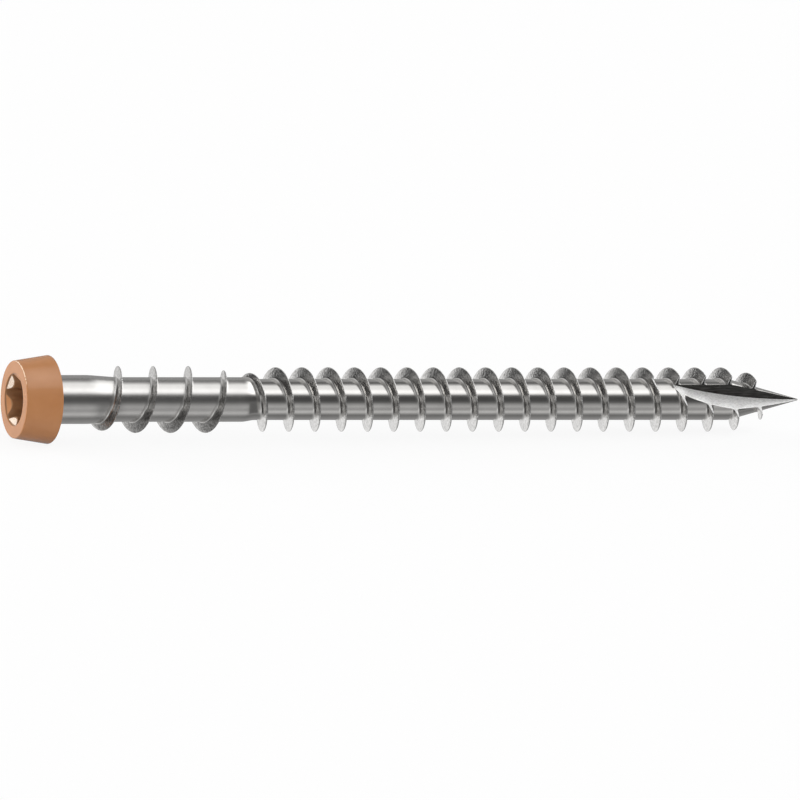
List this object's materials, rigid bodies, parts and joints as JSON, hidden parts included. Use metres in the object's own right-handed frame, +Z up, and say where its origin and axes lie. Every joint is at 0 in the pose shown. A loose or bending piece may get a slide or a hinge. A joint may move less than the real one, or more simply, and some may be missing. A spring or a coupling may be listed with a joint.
{
  "type": "deck screw",
  "caption": "Trim-head deck screw with a star recess, a reverse upper thread, a coarse lower thread and a slotted point.",
  "frame": {"origin": "centre of the bottom of the bounding box, on the floor that the screw lies on", "axes": "+X along the screw from head to tip, +Z up from the floor; the screw's own axis dips about 1 degree to the tip"},
  "size_m": [0.0636, 0.0066, 0.0067],
  "materials": {
    "steel": "bright rolled stainless steel; the head is painted tan"
  },
  "bodies": {
    "root": {"deck_screw": "steel"}
  },
  "joints": []
}
